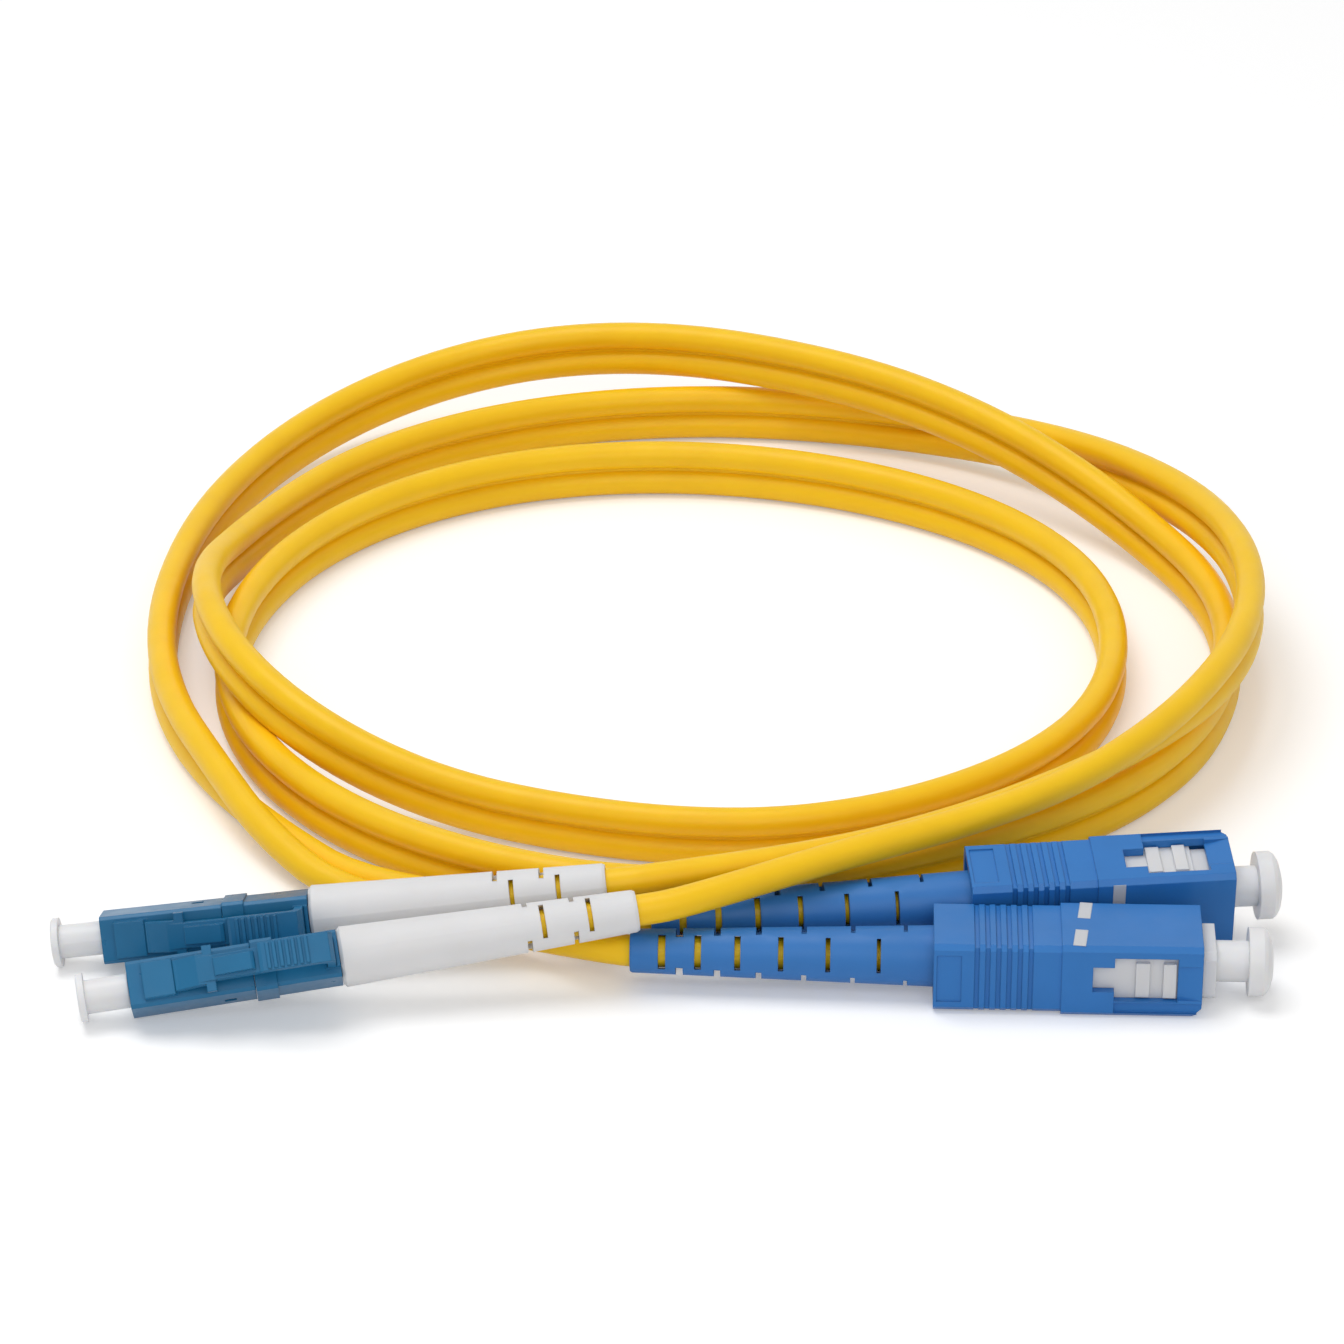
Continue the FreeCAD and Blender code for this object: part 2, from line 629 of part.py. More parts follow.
    label = name + "_crimp_body"
    body = new_body(label)
    wide = lc_bore / 2 - running_gap
    stem = lc_stem_diameter / 2
    core = fibre_bore / 2
    turn(body, [
        (-lc_stem_end, core), (-lc_spring_end, core), (-lc_spring_end, wide), (-lc_body_end, wide),
        (-lc_body_end, stem), (-lc_stem_end, stem),
    ])
    place(label, body, placement)

    ring_front = lc_body_end + seat_gap
    label = name + "_aramid"
    body = new_body(label)
    turn(body, [
        (-lc_stem_end, stem + seat_gap), (-ring_front, stem + seat_gap),
        (-ring_front, lc_ring_inside / 2 - seat_gap), (-lc_stem_end, lc_ring_inside / 2 - seat_gap),
    ])
    place(label, body, placement)

    label = name + "_crimp_ring"
    body = new_body(label)
    turn(body, [
        (-lc_stem_end, lc_ring_inside / 2), (-ring_front, lc_ring_inside / 2),
        (-ring_front, lc_ring_outside / 2), (-lc_stem_end, lc_ring_outside / 2),
    ])
    place(label, body, placement)

    label = name + "_boot"
    body = new_body(label)
    neck_in = lc_ring_outside / 2 + seat_gap
    strand_hole = strand_diameter / 2 + slip_gap
    boot_start = lc_rear_end + seat_gap
    turn(body, [
        (-lc_tail, strand_hole), (-(lc_jacket_start + seat_gap), strand_hole),
        (-(lc_jacket_start + seat_gap), neck_in), (-ring_front, neck_in),
        (-ring_front, neck_in + lc_neck_wall), (-boot_start, neck_in + lc_neck_wall),
        (-boot_start, lc_boot_front / 2 - lc_bevel), (-(boot_start + lc_bevel), lc_boot_front / 2),
        (-(lc_tail - lc_bevel), lc_boot_tail / 2), (-lc_tail, lc_boot_tail / 2 - lc_bevel / 2),
    ])
    for plane, slot_back in (("XZ_Plane", lc_slot_first + lc_slot_step), ("XY_Plane", lc_slot_first)):
        sketch = new_sketch(body, plane)
        for pair in range(lc_slot_rows):
            back = lc_tail - slot_back - lc_slot_pairs * pair
            rectangle(sketch, -(back + lc_slot_width / 2), -(back - lc_slot_width / 2),
                      -strand_hole, strand_hole)
        pocket_through(body, sketch)
    place(label, body, placement)

    label = name + "_dust_cap"
    body = new_body(label)
    hole = radius + running_gap / 2
    stem_end = lc_cap_reach
    cap_end = lc_cap_reach + lc_cap_flange_length
    edge = lc_cap_flange_length * 0.2
    turn(body, [
        (seat_gap, hole), (lc_ferrule_reach + seat_gap * 4, hole), (lc_ferrule_reach + seat_gap * 4, 0),
        (cap_end, 0), (cap_end, lc_cap_flange / 2 - edge), (cap_end - edge, lc_cap_flange / 2),
        (stem_end, lc_cap_flange / 2), (stem_end, lc_cap_stem / 2), (seat_gap, lc_cap_stem / 2),
    ])
    place(label, body, placement)


# Distances behind the nose of the SC frame
sc_flange_start = nose_length + seat_gap
sc_flange_end = sc_flange_start + sc_flange_length
sc_tube_end = sc_flange_end + sc_tube_length
sc_spring_end = sc_flange_end + sc_spring_length + seat_gap * 2
sc_collar_start = frame_length + seat_gap
sc_collar_end = sc_collar_start + sc_collar_length
sc_stem_end = sc_collar_end + sc_stem_length
sc_jacket_start = sc_stem_end + seat_gap
sc_boot_start = sc_nose_out + sc_front_length + sc_rear_length - sc_grip_travel - seat_gap * 8
sc_tail = sc_boot_start + sc_boot_length
sc_grip_length = sc_front_length + sc_rear_length


def sc_plug(name, placement, grip_forward, boot_roll):
    # The grip is drawn at its own place: pulled back, or forward by its travel. The boot may lie turned.
    label = name + "_grip"
    body = new_body(label)
    grip_front = -sc_nose_out + (sc_grip_travel if grip_forward else sc_grip_travel * 0)
    grip_back = grip_front - sc_grip_length
    step = sc_rear_step * 2
    bar(body, grip_front - sc_front_length, grip_front, sc_width, sc_height, sc_bevel)
    bar(body, grip_back, grip_front - sc_front_length, sc_width - step, sc_height - step, sc_bevel)
    hollow(body, grip_back, grip_front, sc_cavity_width, sc_cavity_height)
    bore(body, grip_back, grip_back + sc_seat_depth, sc_boot_front + slip_gap * 2)
    outer = sc_width / 2
    upper = sc_height / 2
    deep_y = outer - sc_rear_step - sc_groove_depth
    deep_z = upper - sc_rear_step - sc_groove_depth
    for plane, deep, far in (("XZ_Plane", deep_z, upper), ("XY_Plane", deep_y, outer)):
        sketch = new_sketch(body, plane)
        for i in range(sc_grooves):
            left = grip_back + sc_groove_first + sc_groove_step * i
            rectangle(sketch, left, left + sc_groove_width, deep, far)
            rectangle(sketch, left, left + sc_groove_width, -far, -deep)
        pocket_through(body, sketch)
    sketch = new_sketch(body, "XZ_Plane")
    window_low = grip_front - window_front - window_length
    window_low_edge = window_up - window_width / 2
    rectangle(sketch, window_low, grip_front - window_front, window_low_edge, window_low_edge + window_width)
    pocket_through(body, sketch)
    sketch = new_sketch(body, "XZ_Plane")
    slot_low_edge = window_up - slot_width / 2
    rectangle(sketch, window_low - slot_length, window_low, slot_low_edge, slot_low_edge + slot_width)
    pocket_through(body, sketch)
    sketch = new_sketch(body, "XY_Plane")
    for side in (1, -1):
        outline(sketch, [
            (grip_front, outer * side), (grip_front - window_front, outer * side),
            (grip_front - window_front, (outer - ramp_depth) * side),
        ])
    ramp = feature(body, "Pocket", sketch)
    ramp.SideType = "Symmetric"
    ramp.Length = ramp_width.value
    ramp.setExpression("Length", ramp_width.text)
    sketch = new_sketch(body, "YZ_Plane", grip_front)
    channel_top = window_low_edge - channel_edge
    rectangle(sketch, outer - channel_depth, outer, channel_top - channel_width, channel_top)
    rectangle(sketch, -outer, channel_depth - outer, channel_top - channel_width, channel_top)
    pocket(body, sketch, window_front + window_length)
    sketch = new_sketch(body, "XZ_Plane")
    outline(sketch, [
        (grip_front, -upper), (grip_front - front_bevel, -upper), (grip_front, front_bevel - upper),
    ])
    pocket_through(body, sketch)
    sketch = new_sketch(body, "XY_Plane")
    panel_left = grip_back + sc_panel_back
    panel_in = outer - sc_rear_step - sc_panel_depth
    for side in (1, -1):
        outline(sketch, [
            (panel_left, panel_in * side), (panel_left + sc_panel_length, panel_in * side),
            (panel_left + sc_panel_length, outer * side), (panel_left, outer * side),
        ])
    panel = feature(body, "Pocket", sketch)
    panel.SideType = "Symmetric"
    panel.Length = sc_panel_width.value
    panel.setExpression("Length", sc_panel_width.text)
    place(label, body, placement)

    label = name + "_plug_frame"
    body = new_body(label)
    frame_width = sc_cavity_width - running_gap * 2
    frame_height = sc_cavity_height - running_gap * 2
    bar(body, -nose_length, seat_gap * 0, nose_width, nose_height, nose_bevel)
    bar(body, -frame_length, -nose_length, frame_width, frame_height, nose_bevel / 2)
    side = frame_width / 2
    for back, length, rise in (
        (crossbar_back, crossbar_length, crossbar_rise), (ledge_back, ledge_length, ledge_rise)
    ):
        sketch = new_sketch(body, "XY_Plane")
        low = -(side + rise)
        outline(sketch, [
            (-(back + length), low), (-back, low), (-back, -low), (-(back + length), -low),
        ])
        pad(body, sketch, ledge_width, True)
    bore(body, -frame_length, -nose_length, frame_bore)
    bore(body, -nose_length, seat_gap * 0, nose_bore)
    place(label, body, placement)

    label = name + "_ferrule"
    body = new_body(label)
    radius = sc_ferrule_diameter / 2
    tip_bevel = sc_ferrule_diameter * 0.12
    ferrule_back = -(sc_ferrule_length - sc_ferrule_reach)
    turn(body, [
        (ferrule_back, 0), (sc_ferrule_reach, 0), (sc_ferrule_reach, radius - tip_bevel),
        (sc_ferrule_reach - tip_bevel * 2, radius), (ferrule_back, radius),
    ])
    place(label, body, placement)

    label = name + "_ferrule_flange"
    body = new_body(label)
    flange = sc_flange_diameter / 2
    tube = sc_tube_diameter / 2
    turn(body, [
        (-sc_tube_end, fibre_bore / 2), (ferrule_back, fibre_bore / 2), (ferrule_back, radius),
        (-sc_flange_start, radius), (-sc_flange_start, flange), (-sc_flange_end, flange),
        (-sc_flange_end, tube), (-sc_tube_end, tube),
    ])
    place(label, body, placement)

    label = name + "_spring"
    spring = doc.addObject("Part::Feature", label)
    spring.Label = label
    spring.Shape = spring_shape(
        -(sc_flange_end + seat_gap + sc_spring_length).value, sc_spring_length.value,
        sc_spring_diameter.value, sc_spring_wire.value, sc_spring_turns.value
    )
    place(label, spring, placement)

    label = name + "_crimp_body"
    body = new_body(label)
    wide = frame_bore / 2 - running_gap
    stem = sc_stem_diameter / 2
    core = fibre_bore / 2
    turn(body, [
        (-sc_stem_end, core), (-sc_spring_end, core), (-sc_spring_end, wide),
        (-sc_collar_start, wide), (-sc_collar_start, sc_collar_diameter / 2),
        (-sc_collar_end, sc_collar_diameter / 2), (-sc_collar_end, stem), (-sc_stem_end, stem),
    ])
    place(label, body, placement)

    ring_front = sc_collar_end + seat_gap
    label = name + "_aramid"
    body = new_body(label)
    turn(body, [
        (-sc_stem_end, stem + seat_gap), (-ring_front, stem + seat_gap),
        (-ring_front, sc_ring_inside / 2 - seat_gap), (-sc_stem_end, sc_ring_inside / 2 - seat_gap),
    ])
    place(label, body, placement)

    label = name + "_crimp_ring"
    body = new_body(label)
    turn(body, [
        (-sc_stem_end, sc_ring_inside / 2), (-ring_front, sc_ring_inside / 2),
        (-ring_front, sc_ring_outside / 2), (-sc_stem_end, sc_ring_outside / 2),
    ])
    place(label, body, placement)

    label = name + "_boot"
    body = new_body(label)
    neck_in = sc_ring_outside / 2 + seat_gap
    strand_hole = strand_diameter / 2 + slip_gap
    neck_start = sc_boot_start - sc_neck_length
    edge = sc_rear_step
    turn(body, [
        (-sc_tail, strand_hole), (-(sc_jacket_start + seat_gap), strand_hole),
        (-(sc_jacket_start + seat_gap), neck_in), (-neck_start, neck_in),
        (-neck_start, sc_neck_diameter / 2), (-sc_boot_start, sc_neck_diameter / 2),
        (-sc_boot_start, sc_boot_front / 2), (-(sc_tail - edge), sc_boot_tail / 2),
        (-sc_tail, sc_boot_tail / 2 - edge / 2),
    ])
    for plane, first in (("XZ_Plane", 0), ("XY_Plane", 1)):
        sketch = new_sketch(body, plane)
        for i in range(first, sc_slots, 2):
            back = sc_tail - sc_slot_first - sc_slot_step * i - sc_slot_growth * (i * i)
            half = (sc_slot_width - sc_slot_narrowing * i) / 2
            rectangle(sketch, -(back + half), -(back - half), -strand_hole, strand_hole)
        pocket_through(body, sketch)
    place(label, body, placement.multiply(Placement(Vector(), Rotation(Vector(1, 0, 0), boot_roll))))

    label = name + "_dust_cap"
    body = new_body(label)
    hole = radius + running_gap / 2
    stem_end = sc_cap_reach
    rim_end = sc_cap_reach + sc_cap_flange_length - sc_cap_dome
    cap_end = sc_cap_reach + sc_cap_flange_length
    turn(body, [
        (seat_gap, hole), (sc_ferrule_reach + seat_gap * 4, hole), (sc_ferrule_reach + seat_gap * 4, 0),
        (cap_end, 0), (cap_end, sc_cap_flange / 4), (rim_end + sc_cap_dome * 0.75, sc_cap_flange * 0.38),
        (rim_end + sc_cap_dome * 0.4, sc_cap_flange * 0.46), (rim_end, sc_cap_flange / 2),
        (stem_end, sc_cap_flange / 2), (stem_end, sc_cap_stem / 2), (seat_gap, sc_cap_stem / 2),
    ])
    place(label, body, placement)


# Where the plugs lie, before the origin is moved under the middle of them
origin_x = -0.35
origin_y = -62.99
lc_places = {
    "lc_1": pose(-53.66 - origin_x, -61.0 - origin_y, 2.95, 181.3, 6.2, -70.0),
    "lc_2": pose(-50.39 - origin_x, -71.4 - origin_y, 3.2, 187.7, 5.9, -47.0),
}
sc_rear = pose(52.95 - origin_x, -55.49 - origin_y, 5.32, 4.4, -1.1, 101.0)
sc_front = pose(49.45 - origin_x, -66.7 - origin_y, sc_height.value / 2, -2.0, 0.0, 0.0)
sc_places = {
    "sc_1": shifted(sc_rear, (sc_nose_out - sc_grip_travel).value),
    "sc_2": shifted(sc_front, sc_nose_out.value),
}
for name, placement in lc_places.items():
    lc_plug(name, placement)
sc_plug("sc_1", sc_places["sc_1"], True, 57.0)
sc_plug("sc_2", sc_places["sc_2"], False, -27.0)

# Coil: how far each of its three turns reaches to the right, back, left and front,
# and how far each quarter turn leans. The pair of strands stands on edge, one above the other.
right_reach = [60.0, 46.0, 58.0]
back_reach = [59.0, 44.0, 61.5]
left_reach = [-48.5, -46.0, -53.5]
front_reach = [-59.0, -42.0, -54.5, -61.5]
lean = [6.5, -2.5, 3.0, -1.0, -2.0, 1.0, 1.5, 0.5, -3.5, 10.0, 13.5, -0.5]
# Where the pair passes over another turn: first and last turn of the crest, and its ramps.
crossings = [(-0.2, 0.24, 0.12, 0.22), (0.79, 0.812, 0.107, 0.136), (2.44, 2.47, 0.14, 0.21)]
crossing_lift = 6.8
first_turn = 0.03
last_turn = 2.9
twist_start = 2.78


def smooth(t):
    t = min(max(t, 0.0), 1.0)
    return t * t * (3 - 2 * t)


def eased(turn_at, first, values, step):
    place_at = (turn_at - first) / step
    i = min(max(math.floor(place_at), 0), len(values) - 2)
    t = smooth(place_at - i)
    return values[i] * (1 - t) + values[i + 1] * t


def blended(turn_at, first, values, step):
    place_at = (turn_at - first) / step
    i = math.floor(place_at)
    t = place_at - i
    near = [values[min(max(i + k, 0), len(values) - 1)] for k in (-1, 0, 1, 2)]
    middle = [3 * s ** 3 - 6 * s ** 2 + 4 for s in (t, 1 - t)]
    shares = ((1 - t) ** 3, middle[0], middle[1], t ** 3)
    return sum(share * value for share, value in zip(shares, near)) / 6


def coil_centre(turn_at):
    right = eased(turn_at, 0.25, right_reach, 1)
    back = eased(turn_at, 0.5, back_reach, 1)
    left = eased(turn_at, 0.75, left_reach, 1)
    front = eased(turn_at, 0.0, front_reach, 1)
    skew = blended(turn_at, 0.125, lean, 0.25)
    angle = 2 * math.pi * turn_at
    x = (right + left) / 2 + (right - left) / 2 * math.sin(angle)
    y = (back + front) / 2 - (back - front) / 2 * math.cos(angle) + skew * math.sin(2 * angle)
    return x - origin_x, y - origin_y


def coil_lift(turn_at):
    lift = 0.0
    for first, last, ramp_in, ramp_out in crossings:
        up = smooth((turn_at - first + ramp_in) / ramp_in)
        down = smooth((last + ramp_out - turn_at) / ramp_out)
        lift = max(lift, crossing_lift * min(up, down))
    return lift


# Roll of the pair: flat beside each other at both ends, on edge in the coil.
def coil_roll(turn_at):
    rising = 27 * smooth((turn_at + 0.02) / 0.05) + 63 * smooth((turn_at - 0.09) / 0.11)
    return math.radians(rising * (1 - smooth((turn_at - twist_start) / (last_turn - twist_start))))


def pair_spot(turn_at):
    x, y = coil_centre(turn_at)
    rise = strand_pitch.value / 2 * math.sin(coil_roll(turn_at))
    low = strand_diameter.value / 2 + seat_gap.value
    return Vector(x, y, low + rise + coil_lift(turn_at))


# One strand of the pair, half the pitch from the pair's middle and square to its run.
def strand_spot(turn_at, side):
    step = 1e-4
    way = (pair_spot(turn_at + step) - pair_spot(turn_at - step)).normalize()
    out = Vector(way.y, -way.x, 0).normalize()
    up = out.cross(way)
    roll = coil_roll(turn_at)
    half = strand_pitch.value / 2 * side
    return pair_spot(turn_at) + out * (half * math.cos(roll)) + up * (half * math.sin(roll))


def strand_way(turn_at, side):
    step = 2e-4
    return (strand_spot(turn_at + step, side) - strand_spot(turn_at - step, side)).normalize()


def plug_axis(placement):
    return placement.Rotation.multVec(Vector(1, 0, 0))


def behind(placement, distance):
    return placement.multVec(Vector(-distance, 0, 0))


# The two strands: inner or lower one from lc_1 to sc_1, outer or upper one from lc_2 to sc_2.
lc_run_out = 4.0
sc_run_in = 1.5
coil_spots = 80
coil_turns = [first_turn + (last_turn - first_turn) * i / coil_spots for i in range(coil_spots + 1)]
strand_points = {}
for strand, side, lc_name, sc_name in (("1", -1, "lc_1", "sc_1"), ("2", 1, "lc_2", "sc_2")):
    lc_place = lc_places[lc_name]
    sc_place = sc_places[sc_name]
    out_way = plug_axis(lc_place) * -1
    in_way = plug_axis(sc_place)
    stations = [(behind(lc_place, lc_tail.value + lc_run_out), out_way)]
    for turn_at in coil_turns:
        stations.append((strand_spot(turn_at, side), strand_way(turn_at, side)))
    stations.append((behind(sc_place, sc_tail.value + sc_run_in), in_way))
    arcs = route_arcs(stations)
    radii = [arc_radius(*arc) for arc in arcs]
    print("strand", strand, "arc radii mm", " ".join("%.0f" % min(r, 999) for r in radii))

    lc_end = behind(lc_place, lc_jacket_start.value)
    sc_end = behind(sc_place, sc_jacket_start.value)
    wire = route_wire([lc_end], arcs, [sc_end])
    jacket = doc.addObject("Part::Feature", "strand_" + strand + "_jacket")
    jacket.Label = "strand_" + strand + "_jacket"
    jacket.Shape = hollow_tube(
        wire, [(lc_end, out_way), (sc_end, in_way)], strand_diameter.value / 2, strand_bore.value / 2
    )
    ring_area = math.pi / 4 * (strand_diameter.value ** 2 - strand_bore.value ** 2)
    print("strand", strand, "length mm %.1f" % wire.Length)
    print("strand", strand, "volume over section times length %.5f" % (
        jacket.Shape.Volume / (ring_area * wire.Length)))
    nodes[jacket.Label] = jacket

    lc_core = behind(lc_place, (lc_flange_end + lc_travel + seat_gap).value)
    sc_core = behind(sc_place, (sc_flange_end + sc_travel + sc_tube_length / 2).value)
    core_wire = route_wire([lc_core], arcs, [sc_core])
    fibre = doc.addObject("Part::Feature", "strand_" + strand + "_fibre")
    fibre.Label = "strand_" + strand + "_fibre"
    fibre.Shape = solid_tube(core_wire, lc_core, out_way, fibre_diameter.value / 2)
    print("fibre", strand, "volume over section times length %.5f" % (
        fibre.Shape.Volume / (math.pi / 4 * fibre_diameter.value ** 2 * core_wire.Length)))
    nodes[fibre.Label] = fibre

    spots = []
    for arc in arcs:
        spots += arc_points(*arc, max(2, round((arc[2] - arc[0]).Length / 1.5)))
    spots.append(arcs[-1][2])
    strand_points[strand] = spots


# Least gap of the strands to themselves and to each other, on points of their centre lines
def least_gap(one, other, apart):
    best = (1e9, 0, 0)
    for i, a in enumerate(one):
        for j, b in enumerate(other):
            if abs(i - j) < apart:
                continue
            d = (a - b).Length
            if d < best[0]:
                best = (d, i, j)
    return best


turn_points = len(strand_points["1"]) / 3
for one, other in (("1", "1"), ("2", "2"), ("1", "2")):
    apart = int(turn_points * 0.4)
    gap, i, j = least_gap(strand_points[one], strand_points[other], apart)
    print("least gap of turns, strand", one, "to", other, "mm %.2f" % (gap - strand_diameter.value),
          "at turns %.2f %.2f" % (i / turn_points, j / turn_points))

doc.recompute()
for item in doc.Objects:
    if "Invalid" in item.State or "Error" in item.State:
        raise RuntimeError("feature failed: " + item.Label)
os.makedirs("parts", exist_ok=True)
for label, item in nodes.items():
    shape = item.Shape
    if shape.isNull() or not shape.isValid() or len(shape.Solids) != 1:
        raise RuntimeError("bad solid: %s %d" % (label, len(shape.Solids)))
    shape.exportStep(os.path.join("parts", label + ".step"))
print(len(nodes), "nodes")
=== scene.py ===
import json
import math

import bmesh
import bpy
from mathutils import Matrix, Vector


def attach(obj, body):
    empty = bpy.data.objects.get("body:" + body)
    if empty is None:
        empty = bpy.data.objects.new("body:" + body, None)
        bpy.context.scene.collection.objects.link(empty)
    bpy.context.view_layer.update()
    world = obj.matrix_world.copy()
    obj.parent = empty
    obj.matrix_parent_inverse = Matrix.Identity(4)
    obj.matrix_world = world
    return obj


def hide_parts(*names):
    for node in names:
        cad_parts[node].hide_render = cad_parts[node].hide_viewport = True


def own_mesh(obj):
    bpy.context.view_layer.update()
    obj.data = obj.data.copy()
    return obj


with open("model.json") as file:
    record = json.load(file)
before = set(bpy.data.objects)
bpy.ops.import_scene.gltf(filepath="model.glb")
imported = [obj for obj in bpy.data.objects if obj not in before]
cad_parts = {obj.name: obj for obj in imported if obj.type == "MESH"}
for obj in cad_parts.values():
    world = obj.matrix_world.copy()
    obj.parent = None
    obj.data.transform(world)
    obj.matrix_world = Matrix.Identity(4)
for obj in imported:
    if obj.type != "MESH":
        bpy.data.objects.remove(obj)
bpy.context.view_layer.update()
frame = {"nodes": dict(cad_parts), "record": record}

MM = 0.001

# Camera: the photograph's own view, from 600 mm away and 27 degrees up
camera_elevation = 27
camera_spot = Vector((0.35, -471.61, 272.4))
camera_data = bpy.data.cameras.new("camera")
camera_data.sensor_width = 36
camera_data.lens = 154.3
camera_data.clip_start = 0.01
camera = bpy.data.objects.new("camera", camera_data)
bpy.context.scene.collection.objects.link(camera)
camera.location = camera_spot * MM
camera.rotation_euler = (math.radians(90 - camera_elevation), 0, 0)
bpy.context.scene.camera = camera


# Places of the plugs, as in the part: local +X out of the nose, +Z out of the latch or the marks
def pose(x, y, z, yaw, pitch, roll):
    turned = Matrix.Rotation(math.radians(yaw), 4, "Z") @ Matrix.Rotation(math.radians(pitch), 4, "Y")
    return Matrix.Translation((x, y, z)) @ turned @ Matrix.Rotation(math.radians(roll), 4, "X")


def shifted(place, along):
    return place @ Matrix.Translation((along, 0, 0))


origin_x = -0.35
origin_y = -62.99
grip_forward = {"sc_1": 0.5, "sc_2": -1.3}
lc_places = {
    "lc_1": pose(-53.66 - origin_x, -61.0 - origin_y, 2.95, 181.3, 6.2, -70.0),
    "lc_2": pose(-50.39 - origin_x, -71.4 - origin_y, 3.2, 187.7, 5.9, -47.0),
}
sc_places = {
    "sc_1": pose(52.95 - origin_x, -55.49 - origin_y, 5.32, 4.4, -1.1, 101.0),
    "sc_2": pose(49.45 - origin_x, -66.7 - origin_y, 3.7, -2.0, 0.0, 0.0),
}
sc_places = {name: shifted(place, -grip_forward[name]) for name, place in sc_places.items()}


def behind(place, distance):
    return place @ Vector((-distance, 0, 0))


# Route of the two strands, repeated from the part in millimetres, with their real lengths in metres
strand_diameter = 3.0
strand_pitch = 3.1
fibre_diameter = 0.9
above_floor = 0.05
lc_tail = 47.8
lc_jacket_start = 21.0
lc_core_start = 5.4
sc_tail = 54.7
sc_jacket_start = 24.05
sc_core_start = 9.25
right_reach = [60.0, 46.0, 58.0]
back_reach = [59.0, 44.0, 61.5]
left_reach = [-48.5, -46.0, -53.5]
front_reach = [-59.0, -42.0, -54.5, -61.5]
lean = [6.5, -2.5, 3.0, -1.0, -2.0, 1.0, 1.5, 0.5, -3.5, 10.0, 13.5, -0.5]
crossings = [(-0.2, 0.24, 0.12, 0.22), (0.79, 0.812, 0.107, 0.136), (2.44, 2.47, 0.14, 0.21)]
crossing_lift = 6.8
first_turn = 0.03
last_turn = 2.9
# The pair rises from flat to edge in two steps: degrees, turn at which it starts, turns that it takes
rises = [(27, -0.02, 0.05), (63, 0.09, 0.11)]
twist_start = 2.81
coil_spots = 80
coil_turns = [first_turn + (last_turn - first_turn) * i / coil_spots for i in range(coil_spots + 1)]
# Small moves of the route, chosen against the edges in the photograph: turn, x, y, reach in turns
moves = [
    (0.83, -0.5, -2.0, 0.12), (0.94, 0.0, 2.0, 0.1), (1.2, 0.0, -1.5, 0.1),
    (2.08, 0.0, 4.5, 0.12), (2.66, -1.5, 0.0, 0.1), (2.83, 1.5, 3.0, 0.1),
]


def smooth(t):
    t = min(max(t, 0.0), 1.0)
    return t * t * (3 - 2 * t)


def eased(turn_at, first, values, step):
    place_at = (turn_at - first) / step
    i = min(max(math.floor(place_at), 0), len(values) - 2)
    t = smooth(place_at - i)
    return values[i] * (1 - t) + values[i + 1] * t


def blended(turn_at, first, values, step):
    place_at = (turn_at - first) / step
    i = math.floor(place_at)
    t = place_at - i
    near = [values[min(max(i + k, 0), len(values) - 1)] for k in (-1, 0, 1, 2)]
    middle = [3 * s ** 3 - 6 * s ** 2 + 4 for s in (t, 1 - t)]
    shares = ((1 - t) ** 3, middle[0], middle[1], t ** 3)
    return sum(share * value for share, value in zip(shares, near)) / 6


def coil_centre(turn_at):
    right = eased(turn_at, 0.25, right_reach, 1)
    back = eased(turn_at, 0.5, back_reach, 1)
    left = eased(turn_at, 0.75, left_reach, 1)
    front = eased(turn_at, 0.0, front_reach, 1)
    skew = blended(turn_at, 0.125, lean, 0.25)
    angle = 2 * math.pi * turn_at
    x = (right + left) / 2 + (right - left) / 2 * math.sin(angle)
    y = (back + front) / 2 - (back - front) / 2 * math.cos(angle) + skew * math.sin(2 * angle)
    for middle, x_move, y_move, reach in moves:
        share = smooth(1 - abs(turn_at - middle) / reach)
        x += share * x_move
        y += share * y_move
    return x - origin_x, y - origin_y


def coil_lift(turn_at):
    lift = 0.0
    for first, last, ramp_in, ramp_out in crossings:
        up = smooth((turn_at - first + ramp_in) / ramp_in)
        down = smooth((last + ramp_out - turn_at) / ramp_out)
        lift = max(lift, crossing_lift * min(up, down))
    return lift


def coil_roll(turn_at):
    rising = sum(degrees * smooth((turn_at - start) / turns) for degrees, start, turns in rises)
    falling = smooth((turn_at - twist_start) / (last_turn - twist_start))
    return math.radians(rising * (1 - falling))


def pair_spot(turn_at):
    x, y = coil_centre(turn_at)
    rise = strand_pitch / 2 * math.sin(coil_roll(turn_at))
    return Vector((x, y, strand_diameter / 2 + above_floor + rise + coil_lift(turn_at)))


def strand_spot(turn_at, side):
    step = 1e-4
    way = (pair_spot(turn_at + step) - pair_spot(turn_at - step)).normalized()
    out = Vector((way.y, -way.x, 0)).normalized()
    up = out.cross(way)
    roll = coil_roll(turn_at)
    half = strand_pitch / 2 * side
    return pair_spot(turn_at) + out * (half * math.cos(roll)) + up * (half * math.sin(roll))


